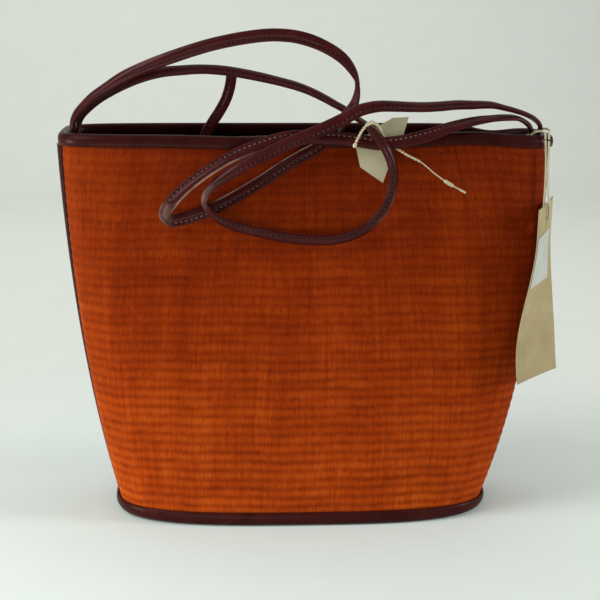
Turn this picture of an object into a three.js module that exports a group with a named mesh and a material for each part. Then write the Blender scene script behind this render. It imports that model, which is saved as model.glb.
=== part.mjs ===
// A straw shoulder bag: two woven walls on an oval base, leather bindings and side strips, a cloth
// lining, two long flat straps that lie interlaced over the front, a closure tab and a hang tag.
// Millimetres. X to the right, Y to the back, Z up. The origin is the middle of the underside.
import * as THREE from 'three';

// The bag's walls
const bagHeight = 260;
const baseHalfWidth = 125;
const baseHalfDepth = 60.5;
const mouthHalfWidth = 164;
const mouthHalfDepth = 44.5;
const widthSwell = 1.9; // power of the flare: the sides bulge out before they reach the mouth
const depthSwell = 2; // power of the taper from the deep base to the flatter mouth
const baseSquareness = 2.9; // power of the oval: 2 is an ellipse, more is nearer to a rectangle
const mouthSquarenessFront = 5.5;
const mouthSquarenessBack = 3.4; // the back of the mouth is drawn in at its corners
const strawThickness = 2;
const liningThickness = 0.8;
const clearance = 0.45; // between pieces that touch

// Leather trim
const bindingLeather = 1.6;
const rimBindingHeight = 8;
const rimBulge = 0.9; // how far the rolled edge swells past its leather
const baseBindingHeight = 8.6;
const baseBulge = 1.4;
const baseLip = 8; // how far the base binding folds in under the bag
const stripHalfWidth = 9;
const stripThickness = 1.5;

// The base
const basePanelThickness = 1.6;
const boardThickness = 2;

// The shoulder straps
const strapWidth = 8.5;
const strapThickness = 3;
const strapCorner = 0.8;
const rootLength = 36; // the sewn-down end of a strap, up to just above the mouth
const flexGap = 0.5; // where the leather bends when the straps are lifted

// The closure tab
const tabWidth = 7.4;
const tabThickness = 2.2;
const tabCorner = 0.6;
const tabRootLength = 14; // the sewn-down end of the tab

// The hang tag, its sticker and its string
const cardWidth = 43;
const cardLength = 117;
const cardThickness = 0.6;
const cardTop = [158.2, -42, 214.5];
const cardFoot = [154.1, -46, 97.5];
const cardTurnTop = 66.5; // degrees between the card's width and X, down to the start of its twist
const cardTurnFoot = 42;
const cardTwistStart = 20;
const cardTwistEnd = 105;
const cardSway = 2.3; // how far the lower half swings towards the bag
const cardHoleDrop = 12.4;
const cardHoleRadius = 2.6;
const cardDip = 2; // the near corner hangs this much lower than the middle
const stickerWidth = 33;
const stickerLength = 36;
const stickerDrop = 19;
const stickerInset = 1; // from the card's near edge
const stickerThickness = 0.3;
const stringRadius = 0.8;
const stringSides = 8; // the tie's too

// The paper label and the plastic tie on the straps
const labelThickness = 0.5;
const labelStand = -51.5;
const labelFoldHeight = 256;
const labelLean = 0.6;
const tieRadius = 0.8;
const tieBulbRadius = 1.6;
const tieBulbLength = 4;
const tieHeadRadius = 1.5;
const tieHeadLength = 6;
const tieHeadBack = 17.5; // the middle of the head, back from the far end

// How finely the curved pieces are cut up
const perimeterPoints = 72;
const wallRows = 8;
const strapStep = 8;
const cardEdgePoints = 9;
const stickerEdgePoints = 4;
const holeSegments = 8;
const stringSteps = 56;
const nooseSteps = 50;
const tieSteps = 44;

const colours = {
  straw: 0x8e3a0c, leather: 0x3e1a1a, lining: 0x120b08, board: 0x8a7a60,
  paper: 0xb8ac88, sticker: 0xd9dad2, plastic: 0xb5ab8c, string: 0xc8bf9b,
};

function material(colour, roughness) {
  return new THREE.MeshStandardMaterial({ color: colours[colour], roughness, metalness: 0 });
}

const group = new THREE.Group();

function add(name, geometry, surface) {
  const mesh = new THREE.Mesh(geometry, surface);
  mesh.name = name;
  group.add(mesh);
}

// The outline of the bag at one height, moved outwards along its normal, in a direction from its
// middle. It is an oval with the power `squareness`, in polar form.
function wallPoint(direction, height, offset) {
  const share = THREE.MathUtils.clamp(height / bagHeight, 0, 1);
  const halfWidth = mouthHalfWidth - (mouthHalfWidth - baseHalfWidth) * (1 - share) ** widthSwell;
  const halfDepth = baseHalfDepth - (baseHalfDepth - mouthHalfDepth) * share ** depthSwell;
  const mouthSquareness = Math.sin(direction) > 0 ? mouthSquarenessBack : mouthSquarenessFront;
  const squareness = THREE.MathUtils.lerp(baseSquareness, mouthSquareness, share);
  const across = Math.abs(Math.cos(direction)) / halfWidth;
  const deep = Math.abs(Math.sin(direction)) / halfDepth;
  const radius = (across ** squareness + deep ** squareness) ** (-1 / squareness);
  const point = new THREE.Vector3(Math.cos(direction), Math.sin(direction), 0).multiplyScalar(radius);
  const normal = new THREE.Vector3(
    Math.sign(point.x) * (across * radius) ** (squareness - 1) / halfWidth,
    Math.sign(point.y) * (deep * radius) ** (squareness - 1) / halfDepth,
    0,
  ).normalize();
  return point.addScaledVector(normal, offset).setZ(height);
}

class FrontOutline extends THREE.Curve {
  getPoint(t) {
    return wallPoint(Math.PI * (1 + t), bagHeight, 0);
  }
}

// Directions that cut the front of the mouth into equal lengths, and the same ones mirrored for the
// back. Every layer of the wall uses them, so the layers stay parallel.
const outline = new FrontOutline();
outline.arcLengthDivisions = 800;
const halfCount = perimeterPoints / 2;
const frontDirections = [];
for (let i = 1; i < halfCount; i += 1) {
  frontDirections.push(Math.PI * (1 + outline.getUtoTmapping(i / halfCount)));
}
const backDirections = frontDirections.map((angle) => 2 * Math.PI - angle).reverse();
const directions = [0, ...backDirections, Math.PI, ...frontDirections];

// A closed solid from loops of points with as many points each. Its two ends are closed by fans
// about their centres, or it runs round in a ring. Its squares are cut the same way as a slab's.
function skin(loops, ring = false) {
  const size = loops[0].length;
  const points = loops.flat();
  const faces = [];
  const count = ring ? loops.length : loops.length - 1;
  for (let i = 0; i < count; i += 1) {
    const here = i * size;
    const next = ((i + 1) % loops.length) * size;
    for (let j = 0; j < size; j += 1) {
      const k = (j + 1) % size;
      const [a, b, c, d] = [here + j, here + k, next + k, next + j];
      if (points[b].z > points[a].z) faces.push(a, b, c, a, c, d);
      else faces.push(a, b, d, b, c, d);
    }
  }
  if (!ring) {
    for (const [start, turned] of [[0, true], [(loops.length - 1) * size, false]]) {
      const centre = new THREE.Vector3();
      for (let j = 0; j < size; j += 1) centre.add(points[start + j]);
      points.push(centre.divideScalar(size));
      for (let j = 0; j < size; j += 1) {
        const [a, b] = [start + j, start + ((j + 1) % size)];
        faces.push(points.length - 1, turned ? b : a, turned ? a : b);
      }
    }
  }
  return facesOut(points, faces);
}

// A closed solid between two sheets of points, rows by columns, with a wall round their edges.
function slab(outer, inner) {
  const [rows, columns] = [outer.length, outer[0].length];
  const points = [...outer.flat(), ...inner.flat()];
  const back = rows * columns;
  const faces = [];
  for (let r = 0; r < rows - 1; r += 1) {
    for (let c = 0; c < columns - 1; c += 1) {
      const a = r * columns + c;
      const [b, d, e] = [a + 1, a + columns, a + columns + 1];
      faces.push(a, b, e, a, e, d);
      faces.push(back + a, back + e, back + b, back + a, back + d, back + e);
    }
  }
  const edge = [];
  for (let c = 0; c < columns - 1; c += 1) edge.push(c);
  for (let r = 0; r < rows - 1; r += 1) edge.push(r * columns + columns - 1);
  for (let c = columns - 1; c > 0; c -= 1) edge.push((rows - 1) * columns + c);
  for (let r = rows - 1; r > 0; r -= 1) edge.push(r * columns);
  edge.forEach((a, i) => {
    const b = edge[(i + 1) % edge.length];
    faces.push(a, back + b, b, a, back + a, back + b);
  });
  return facesOut(points, faces);
}

// The geometry of points and faces, with the faces turned round if they enclose a negative volume.
function facesOut(points, faces) {
  let volume = 0;
  for (let i = 0; i < faces.length; i += 3) {
    const [a, b, c] = [points[faces[i]], points[faces[i + 1]], points[faces[i + 2]]];
    volume += a.dot(b.clone().cross(c));
  }
  const geometry = new THREE.BufferGeometry().setFromPoints(points);
  geometry.setIndex(volume < 0 ? faces.reverse() : faces);
  geometry.computeVertexNormals();
  return geometry;
}

// Every layer of the wall is cut at these heights, so that the layers stay parallel
const rowHeights = [];
for (let r = 1; r < wallRows; r += 1) rowHeights.push((bagHeight * r) / wallRows);
rowHeights.push(bagHeight - rimBindingHeight);

// A sheet of wall points between two heights, at one offset from the straw's outside.
function wallSheet(angles, from, to, offset) {
  const between = rowHeights.filter((height) => height > from + 1 && height < to - 1);
  return [from, ...between, to].map((height) => angles.map((angle) => wallPoint(angle, height, offset)));
}

// A rolled edge all round the bag: a section of [offset, height] points carried round the wall.
function rolledEdge(section) {
  const loops = directions.map((angle) => (
    section.map(([offset, height]) => wallPoint(angle, height, offset))
  ));
  return skin(loops, true);
}

// A flat plate that fills the bag's outline at one height.
function plate(height, offset, thickness) {
  const shape = new THREE.Shape(directions.map((angle) => {
    const point = wallPoint(angle, height, offset);
    return new THREE.Vector2(point.x, point.y);
  }));
  const geometry = new THREE.ExtrudeGeometry(shape, { depth: thickness, bevelEnabled: false });
  return geometry.translate(0, 0, height);
}

const liningOutside = -strawThickness - clearance;
const liningInside = liningOutside - liningThickness;
const lipTop = bindingLeather;
const wallFoot = lipTop + clearance;
const rimRoof = bagHeight - bindingLeather;
const wallTop = rimRoof - clearance;

// The seams lie at the sides, and each wall stops short of them
const seamGap = 0.003;
const frontAngles = [Math.PI + seamGap, ...frontDirections, 2 * Math.PI - seamGap];
const backAngles = [seamGap, ...backDirections, Math.PI - seamGap];

function woven() {
  for (const [name, angles] of [['front_panel', frontAngles], ['back_panel', backAngles]]) {
    const outside = wallSheet(angles, wallFoot, wallTop, 0);
    const inside = wallSheet(angles, wallFoot, wallTop, -strawThickness);
    add(name, slab(outside, inside), material('straw', 0.75));
  }
}

const boardFoot = wallFoot;
const boardTop = boardFoot + boardThickness;
const liningFloor = boardTop + clearance;

function lining() {
  const foot = liningFloor + liningThickness + clearance;
  for (const [name, angles] of [['lining_front', frontAngles], ['lining_back', backAngles]]) {
    const outside = wallSheet(angles, foot, wallTop, liningOutside);
    const inside = wallSheet(angles, foot, wallTop, liningInside);
    add(name, slab(outside, inside), material('lining', 0.9));
  }
  add('lining_base', plate(liningFloor, liningOutside, liningThickness), material('lining', 0.9));
}

// How far the rolled edges' sections stand out, and how round they are
const outside = clearance + bindingLeather;
const rounding = 0.4 * bindingLeather;

function base() {
  add('base_panel', plate(0, -baseLip - clearance, basePanelThickness), material('leather', 0.5));
  add('base_board', plate(boardFoot, liningOutside, boardThickness), material('board', 0.9));
  const height = baseBindingHeight;
  add('base_binding', rolledEdge([
    [clearance, lipTop], [clearance, height - rounding], [outside - rounding, height],
    [outside + 0.7 * baseBulge, 0.8 * height], [outside + baseBulge, 0.5 * height],
    [outside + 0.5 * baseBulge, 0.2 * height], [outside - rounding, 0.05 * height],
    [-rounding, 0], [-baseLip, 0], [-baseLip, lipTop],
  ]), material('leather', 0.45));
}

function rim() {
  const within = liningInside - clearance;
  const inside = within - bindingLeather;
  const middle = (outside + inside) / 2;
  const crown = (outside - inside) / 5;
  const foot = bagHeight - rimBindingHeight;
  const low = foot + rimBindingHeight / 6;
  const belly = foot + rimBindingHeight / 2;
  const shoulder = bagHeight - rimBindingHeight / 6;
  const edge = foot + rounding / 2;
  const nearTop = bagHeight - rimBindingHeight / 40;
  add('rim_binding', rolledEdge([
    [clearance, rimRoof], [clearance, edge], [outside - rounding, foot],
    [outside + rimBulge / 2, low], [outside + rimBulge, belly], [outside - rimBulge / 3, shoulder],
    [middle + crown, nearTop], [middle, bagHeight], [middle - crown, nearTop],
    [inside + rimBulge / 3, shoulder], [inside - rimBulge, belly], [inside - rimBulge / 2, low],
    [inside + rounding, foot], [within, edge], [within, rimRoof],
  ]), material('leather', 0.45));
}

// Leather strips over the two side seams, between the two bindings
function sideStrips() {
  const foot = baseBindingHeight + clearance;
  const top = bagHeight - rimBindingHeight - clearance;
  const halfAngle = Math.atan(stripHalfWidth / mouthHalfWidth);
  const columns = 7;
  for (const [name, middle] of [['side_strip_left', Math.PI], ['side_strip_right', 0]]) {
    const angles = [];
    for (let c = 0; c < columns; c += 1) {
      angles.push(middle + THREE.MathUtils.lerp(-halfAngle, halfAngle, c / (columns - 1)));
    }
    const under = wallSheet(angles, foot, top, clearance);
    const over = wallSheet(angles, foot, top, clearance + stripThickness);
    add(name, slab(over, under), material('leather', 0.45));
  }
}

// The routes and places below are drawn for a bag with this half width and half depth of the mouth
// and this height. They are stretched to the sizes above, so the trim stays where it is on the bag.
const drawnFor = [164, 44.5, 260];

function onBag([x, y, z]) {
  const [halfWidth, halfDepth, height] = drawnFor;
  return new THREE.Vector3(
    (x * mouthHalfWidth) / halfWidth,
    (y * mouthHalfDepth) / halfDepth,
    (z * bagHeight) / height,
  );
}

// A flat strap along a route of [x, y, z, nx, ny, nz] points, where n is the way its face looks,
// between two distances along the route, which count back from its far end when they are negative.
function strap(route, width, thickness, corner, first, last) {
  const path = new THREE.CatmullRomCurve3(route.map(onBag));
  const facing = new THREE.CatmullRomCurve3(route.map((row) => new THREE.Vector3(...row.slice(3))));
  path.arcLengthDivisions = 1000;
  const whole = path.getLength();
  const from = first < 0 ? whole + first : first;
  const to = last > 0 ? last : whole + last;
  const steps = Math.max(2, Math.round((to - from) / strapStep));
  const [w, t] = [width / 2, thickness / 2];
  const section = [
    [w, t - corner], [w - corner, t], [corner - w, t], [-w, t - corner],
    [-w, corner - t], [corner - w, -t], [w - corner, -t], [w, corner - t],
  ];
  const loops = [];
  for (let i = 0; i <= steps; i += 1) {
    const t01 = path.getUtoTmapping(0, THREE.MathUtils.lerp(from, to, i / steps));
    const centre = path.getPoint(t01);
    const along = path.getTangent(t01);
    const across = along.clone().cross(facing.getPoint(t01)).normalize();
    const out = across.clone().cross(along);
    loops.push(section.map(([a, b]) => centre.clone().addScaledVector(across, a).addScaledVector(out, b)));
  }
  return skin(loops);
}

// The higher strap: left foot, high arch, down over the front, left tip, back along the rim, right foot
const highRoute = [
  [-157.6, -8, 225, -1, 0, 0], [-157.7, -8, 240, -1, 0, 0], [-155.6, -8, 251, -1, 0, 0],
  [-155.5, -8, 257, -1, -0.1, 0], [-155.6, -8.5, 264, -0.95, -0.3, 0.1],
  [-153.2, -9, 270, -0.85, -0.45, 0.3],
  [-148.3, -10, 276, -0.7, -0.5, 0.5], [-142.1, -12, 282, -0.55, -0.55, 0.6],
  [-133.3, -13.5, 288, -0.4, -0.65, 0.65], [-123, -15, 294.6, -0.25, -0.8, 0.55],
  [-109.5, -17, 301, -0.1, -0.9, 0.4], [-90.2, -20, 308.3, 0, -1, 0.2], [-61.7, -24, 317.3, 0, -1, 0.1],
  [-33.4, -28, 322.7, 0, -1, 0.1], [-19.4, -30, 323.5, 0, -1, 0.1], [-5.6, -32, 322, 0, -1, 0.1],
  [8.6, -34, 317.3, 0.2, -0.9, 0.3], [21.6, -36, 309.4, 0.45, -0.8, 0.3], [28, -38, 301.8, 0.75, -0.6, 0.2],
  [31.2, -40, 294, 1, -0.2, 0], [30.7, -42.5, 285.7, 0.95, 0.3, 0], [28.3, -45, 279.4, 0.8, 0.6, 0],
  [24.2, -48, 273.2, 0.5, 0.85, 0], [18.2, -51, 265.7, 0.3, 0.95, -0.2],
  [11.7, -52, 258.7, 0.2, 0.95, -0.2], [4, -52, 252.2, 0.2, 0.95, -0.3],
  [-6.3, -51.5, 246.4, 0.2, 0.9, -0.4], [-17.9, -51.5, 239.6, 0.2, 0.9, -0.4],
  [-29, -52, 232.2, 0.2, 0.9, -0.4], [-43.9, -53, 223.3, 0.2, 0.9, -0.3], [-58.1, -54, 215.6, 0.1, 1, -0.2],
  [-71.1, -54.5, 210, 0, 1, -0.1], [-82.1, -55, 206.8, -0.1, 1, -0.1],
  [-89.8, -55.8, 206, -0.2, 0.95, -0.3], [-93.4, -59, 210.5, 0.1, 0.95, -0.1],
  [-90.2, -62.2, 217.4, 0.3, 0.9, -0.1], [-82.5, -62, 225.7, 0.4, 0.85, -0.3],
  [-72.2, -61, 234, 0.3, 0.8, -0.5], [-61.3, -60, 241.3, 0.3, 0.8, -0.5],
  [-51, -59.3, 247.1, 0.3, 0.8, -0.5], [-40.7, -58.5, 251.7, 0.2, 0.85, -0.4],
  [-29.2, -57.5, 255.8, 0.1, 0.9, -0.3], [-17.6, -57, 258.9, 0, 1, -0.2], [-6.7, -57, 260.2, 0, 1, -0.2],
  [7.5, -57, 259.3, 0, 1, -0.2], [19.1, -57, 258.9, 0, 1, -0.2], [32, -57, 257.3, 0, 1, -0.2],
  [45, -56.5, 255.5, 0, 1, -0.2], [60, -55.3, 256.8, 0, 0.95, -0.3], [69.9, -54, 258.8, 0, 0.95, -0.4],
  [80.3, -52, 261.5, 0, 0.85, -0.55], [90.7, -49, 264.8, 0, 0.7, -0.7],
  [101.1, -45, 267.3, 0, 0.55, -0.85], [112.4, -41, 269.2, 0, 0.4, -0.9], [121.8, -37, 270, 0, 0.25, -1],
  [130.5, -33, 270.2, -0.1, 0.2, -1], [139.4, -28.5, 269.4, -0.3, 0.1, -1],
  [146.1, -25, 265.9, -0.62, 0.15, -0.75], [149.6, -23, 262, -0.9, 0.22, -0.35],
  [150.4, -21.5, 257, -1, 0.25, -0.05], [150.2, -20, 251, -1, 0.25, 0], [150.3, -19, 240, -1, 0.2, 0],
  [150.3, -19, 225, -1, 0.2, 0],
];

// The lower strap: right foot, along the rim, down over the front as the foremost strand, a hanging
// loop, up over the rim and a flat arch to the left foot
const lowRoute = [
  [153.9, -19, 225, 1, -0.2, 0], [153.9, -19, 240, 1, -0.2, 0], [153.8, -20, 251, 1, -0.25, 0],
  [154.1, -21.5, 257, 1, -0.25, 0.05], [156, -23, 263, 0.95, -0.2, 0.3],
  [152.6, -25, 267.6, 0.72, -0.15, 0.65], [145.7, -27.5, 271.6, 0.5, -0.1, 0.85],
  [137.2, -29.5, 274.6, 0.25, -0.15, 1], [130, -30.5, 276.5, 0.05, -0.2, 1],
  [122.5, -31.5, 278.3, 0, -0.3, 0.95], [114.5, -32.5, 278.8, 0, -0.4, 0.9],
  [106.6, -35, 278.9, 0, -0.5, 0.85], [96.7, -37, 279, 0, -0.55, 0.8], [86.3, -41, 278.5, 0, -0.6, 0.8],
  [75.9, -45, 278.3, 0, -0.6, 0.75], [64.9, -49, 278.7, 0, -0.65, 0.75], [54.8, -52, 279.3, 0, -0.7, 0.7],
  [44.8, -55, 279.6, 0, -0.75, 0.65], [36.6, -57, 278.5, -0.1, -0.8, 0.6],
  [30.3, -58.5, 276.7, -0.15, -0.85, 0.5], [21.9, -60.5, 272.3, -0.2, -0.9, 0.4],
  [13.5, -61.5, 268.3, -0.2, -0.9, 0.35], [3.2, -62.3, 263.6, -0.2, -0.95, 0.3],
  [-7, -62.5, 259.2, -0.2, -0.95, 0.25], [-17.8, -62.5, 254.7, -0.2, -0.95, 0.25],
  [-29.3, -63.4, 249.3, -0.2, -0.95, 0.25], [-40.2, -64.1, 243.9, -0.25, -0.9, 0.3],
  [-48.5, -64.7, 239.4, -0.35, -0.85, 0.4], [-56.8, -64.5, 234.3, -0.55, -0.7, 0.5],
  [-63.3, -64, 229.1, -0.8, -0.45, 0.4], [-67.8, -63.3, 223.3, -0.95, -0.25, 0.2],
  [-68.4, -62.5, 217.4, -1, -0.15, -0.1], [-64, -62, 211.5, -0.8, -0.4, -0.55],
  [-56.9, -60.5, 206.1, -0.45, -0.65, -0.65], [-45.3, -58.8, 201.3, -0.2, -0.8, -0.6],
  [-31.1, -57.8, 197.6, -0.1, -0.8, -0.6], [-16.2, -57.3, 194.5, 0, -0.8, -0.6],
  [0.1, -57.3, 192.8, 0, -0.8, -0.6], [16.4, -57.5, 193, 0.2, -0.8, -0.55],
  [31.9, -58, 197.9, 0.4, -0.75, -0.45], [41.7, -58, 204.8, 0.55, -0.7, -0.35],
  [49.6, -58.5, 214.9, 0.7, -0.7, -0.2], [53.3, -59.5, 226.5, 0.75, -0.65, 0],
  [53.7, -60.5, 236.3, 0.75, -0.65, 0.1], [51.8, -61.5, 245.7, 0.7, -0.7, 0.15],
  [48.3, -62.9, 253.1, 0.65, -0.7, 0.25], [44.4, -62.3, 258.5, 0.6, -0.65, 0.4],
  [40.7, -59.5, 263.3, 0.55, -0.55, 0.6], [37, -54, 267, 0.5, -0.4, 0.75],
  [33.4, -48, 269.3, 0.5, -0.3, 0.8], [28.9, -41.8, 272, 0.45, -0.3, 0.85],
  [23.7, -38, 275.9, 0.4, -0.3, 0.85], [17.3, -36, 279.3, 0.4, -0.35, 0.85],
  [10.9, -34, 282.8, 0.35, -0.4, 0.85], [1.2, -31, 287.4, 0.3, -0.45, 0.85],
  [-8.5, -28, 290.8, 0.2, -0.5, 0.85], [-18.2, -26, 293.3, 0.15, -0.5, 0.85],
  [-31.3, -23.5, 296.2, 0.1, -0.55, 0.8], [-43.7, -21.5, 298.5, 0.1, -0.6, 0.8],
  [-56.8, -19.5, 300.3, 0, -0.6, 0.8], [-70.6, -17.5, 300.8, 0, -0.6, 0.8],
  [-83.8, -15, 299.9, 0, -0.65, 0.75], [-96.4, -12.5, 298.5, 0, -0.7, 0.7],
  [-109.8, -10, 295, -0.1, -0.75, 0.65], [-123.6, -7, 288.9, -0.3, -0.65, 0.7],
  [-137.4, -4.5, 280.7, -0.6, -0.5, 0.6], [-143.8, -4, 275.5, -0.7, -0.45, 0.5],
  [-149, -4.5, 270, -0.85, -0.4, 0.3], [-151.5, -6, 264.3, -0.95, -0.3, 0.1],
  [-151.4, -7.5, 257, -1, -0.1, 0], [-151.6, -8, 251, -1, 0, 0], [-153.8, -8, 240, -1, 0, 0],
  [-153.8, -8, 225, -1, 0, 0],
];

function straps() {
  const main = rootLength + flexGap;
  for (const [name, route] of [['high', highRoute], ['low', lowRoute]]) {
    const ends = name === 'high' ? ['left', 'right'] : ['right', 'left'];
    const size = [strapWidth, strapThickness, strapCorner];
    add(`strap_${name}`, strap(route, ...size, main, -main), material('leather', 0.45));
    add(`strap_${name}_root_${ends[0]}`, strap(route, ...size, 0, rootLength), material('leather', 0.45));
    add(`strap_${name}_root_${ends[1]}`, strap(route, ...size, -rootLength, 0), material('leather', 0.45));
  }
}

// The tab rises from the lining of the back wall and leans back on the rim
const tabRoute = [
  [-79, 39.6, 228, 0.3, -1, 0], [-75, 38.6, 236, 0.35, -1, 0], [-71, 36.8, 244.5, 0.4, -0.9, 0.1],
  [-67, 35.7, 253.4, 0.4, -0.9, 0.1], [-62.9, 36.3, 260.3, 0.35, -0.9, 0.2],
  [-57.4, 39.6, 268.4, 0.2, -0.95, 0.25], [-53, 42, 276.4, 0.1, -0.95, 0.25],
  [-50.2, 43.8, 285, 0.05, -1, 0.2], [-48.6, 44.8, 295, 0, -1, 0.1],
];

function closureTab() {
  const size = [tabWidth, tabThickness, tabCorner];
  add('closure_tab_root', strap(tabRoute, ...size, 0, tabRootLength), material('leather', 0.5));
  add('closure_tab', strap(tabRoute, ...size, tabRootLength + flexGap, 0), material('leather', 0.5));
}

// A point of the hanging card: u across it from its near edge, v down it from its top, and out from
// its middle plane towards the side that shows
function onCard(u, v, out) {
  const share = v / cardLength;
  const twist = THREE.MathUtils.smoothstep(v, cardTwistStart, cardTwistEnd);
  const turn = THREE.MathUtils.degToRad(THREE.MathUtils.lerp(cardTurnTop, cardTurnFoot, twist));
  const along = u - cardWidth / 2;
  const centre = onBag(cardTop).lerp(onBag(cardFoot), share);
  centre.x -= cardSway * Math.sin(Math.PI * share ** 2);
  const across = new THREE.Vector3(Math.cos(turn), Math.sin(turn), (2 * cardDip) / cardWidth);
  const face = new THREE.Vector3(Math.sin(turn), -Math.cos(turn), 0);
  return centre.addScaledVector(across, along).addScaledVector(face, out);
}

function rectanglePoints(left, top, width, length, perSide) {
  const corners = [[left, top], [left + width, top], [left + width, top + length], [left, top + length]];
  const points = [];
  corners.forEach(([u, v], i) => {
    const [nextU, nextV] = corners[(i + 1) % corners.length];
    for (let k = 0; k < perSide; k += 1) {
      const share = k / perSide;
      points.push(new THREE.Vector2(u + (nextU - u) * share, v + (nextV - v) * share));
    }
  });
  return points;
}

// A flat outline in the card's own u and v, carried onto the twisted card
function cardPiece(shape, from, thickness) {
  const geometry = new THREE.ExtrudeGeometry(shape, {
    depth: thickness, bevelEnabled: false, curveSegments: holeSegments,
  });
  const place = geometry.getAttribute('position');
  for (let i = 0; i < place.count; i += 1) {
    const point = onCard(place.getX(i), place.getY(i), from + thickness - place.getZ(i));
    place.setXYZ(i, point.x, point.y, point.z);
  }
  return geometry;
}

function hangTag() {
  const card = new THREE.Shape(rectanglePoints(0, 0, cardWidth, cardLength, cardEdgePoints));
  const hole = new THREE.Path().absarc(cardWidth / 2, cardHoleDrop, cardHoleRadius, 0, 2 * Math.PI, true);
  card.holes.push(hole);
  add('tag_card', cardPiece(card, -cardThickness / 2, cardThickness), material('paper', 0.85));
  const sticker = new THREE.Shape(rectanglePoints(
    stickerInset, stickerDrop, stickerWidth, stickerLength, stickerEdgePoints,
  ));
  const stand = cardThickness / 2 + clearance;
  add('tag_sticker', cardPiece(sticker, stand, stickerThickness), material('sticker', 0.6));
}

// A round cord of a few sides along a list of points
function cord(route, radius, steps) {
  const path = new THREE.CatmullRomCurve3(route.map(onBag));
  const section = new THREE.Shape();
  section.absarc(0, 0, radius, 0, 2 * Math.PI);
  return new THREE.ExtrudeGeometry(section, {
    steps, extrudePath: path, bevelEnabled: false, curveSegments: stringSides / 2,
  });
}

// One length of string hangs from the loop, goes through the card's hole and up again
const stringRoute = [
  [158.7, -39.5, 255.1], [158.7, -40.3, 248], [158.3, -41.5, 236], [158.7, -42.4, 222],
  [159.6, -42.9, 213], [159.7, -43.1, 208], [159.3, -43.2, 204.4], [157.8, -42.4, 203.2],
  [156.3, -41.6, 204.4], [156.1, -41.4, 208], [156.4, -41.2, 213], [156.9, -40.6, 222],
  [157.2, -39.8, 236], [157, -39.3, 248], [156.4, -39.2, 255.9],
];

// The noose lies round the feet of the straps and comes forward over the rim
const nooseRoute = [
  [158.7, -39.5, 256.4], [158.8, -38.9, 259], [159.2, -37.2, 261], [160, -33.5, 261.4],
  [161.2, -28, 261.4], [161.8, -21, 261.4], [160.8, -15.5, 261.4], [157.4, -12.9, 260.4],
  [152.6, -12.6, 257.8], [148, -14.8, 256.2], [146.3, -19.3, 255.8], [146, -25, 256.2],
  [147.8, -29.2, 258], [151.4, -31.8, 260.7], [154.6, -34.4, 261.5], [156.2, -37, 261],
  [156.4, -38.8, 259], [156.4, -39.2, 256.4],
];

function tagString() {
  add('tag_string', cord(stringRoute, stringRadius, stringSteps), material('string', 0.9));
  add('tag_noose', cord(nooseRoute, stringRadius, nooseSteps), material('string', 0.9));
}

// A folded paper label behind the straps: its lower leaf hangs down, its upper one leans back
const labelOutline = [
  [35.5, 262], [33.5, 256], [30.1, 252.7], [32.8, 239.8], [47.8, 229.5], [50.2, 236.6], [52.2, 239],
  [51.6, 246.3], [50, 252], [60, 259], [65, 271.5], [54.5, 271], [45.5, 266], [45, 259],
  [40.5, 259], [39.5, 262],
];

function strapLabel() {
  const shape = new THREE.Shape(labelOutline.map(([x, z]) => new THREE.Vector2(x, z)));
  const geometry = new THREE.ExtrudeGeometry(shape, { depth: labelThickness, bevelEnabled: false });
  const place = geometry.getAttribute('position');
  for (let i = 0; i < place.count; i += 1) {
    const height = place.getY(i);
    const lean = Math.max(0, height - labelFoldHeight) * labelLean;
    const point = onBag([place.getX(i), labelStand + lean - place.getZ(i), height]);
    place.setXYZ(i, point.x, point.y, point.z);
  }
  add('strap_label', geometry, material('paper', 0.85));
}

// The tie starts in a bulb, goes over the lower strap, behind the higher one and ends in a head
const tieRoute = [
  [27.3, -66.6, 254], [28.8, -66.4, 258], [31.8, -65.9, 263.7], [34.8, -64.4, 267.5], [38.3, -61.6, 269.5],
  [41.8, -57.8, 268.4], [44.8, -54.6, 264.8], [47.4, -53.2, 260.6], [50, -52.7, 257], [53.4, -52.6, 253.8],
  [57.4, -53, 251.3], [63.5, -54.4, 247.6], [71.7, -55.5, 243.5], [80, -55.5, 236.8], [88, -55.5, 231],
  [96, -55.3, 226.4], [101.7, -55, 223.3],
];

function beadedTie() {
  const path = new THREE.CatmullRomCurve3(tieRoute.map(onBag));
  const whole = path.getLength();
  const frames = path.computeFrenetFrames(tieSteps);
  const loops = [];
  for (let i = 0; i <= tieSteps; i += 1) {
    const at = (whole * i) / tieSteps;
    let radius = tieRadius;
    if (at < tieBulbLength) radius = tieBulbRadius;
    if (Math.abs(whole - tieHeadBack - at) < tieHeadLength / 2) radius = tieHeadRadius;
    const centre = path.getPointAt(i / tieSteps);
    const loop = [];
    for (let k = 0; k < stringSides; k += 1) {
      const angle = (2 * Math.PI * k) / stringSides;
      loop.push(centre.clone()
        .addScaledVector(frames.normals[i], radius * Math.cos(angle))
        .addScaledVector(frames.binormals[i], radius * Math.sin(angle)));
    }
    loops.push(loop);
  }
  add('beaded_tie', skin(loops), material('plastic', 0.4));
}

woven();
lining();
base();
rim();
sideStrips();
straps();
closureTab();
hangTag();
tagString();
strapLabel();
beadedTie();

export default group;
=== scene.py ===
"""The straw shoulder bag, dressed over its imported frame.

Lengths are in millimetres until a mesh is written. X is to the bag's right, Y to its back, Z up.
A piece's pattern, its UV map, counts millimetres too, PATTERN_UNIT of them to one.
"""
import math

import bpy
import numpy as np
from mathutils import Matrix, Vector


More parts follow.
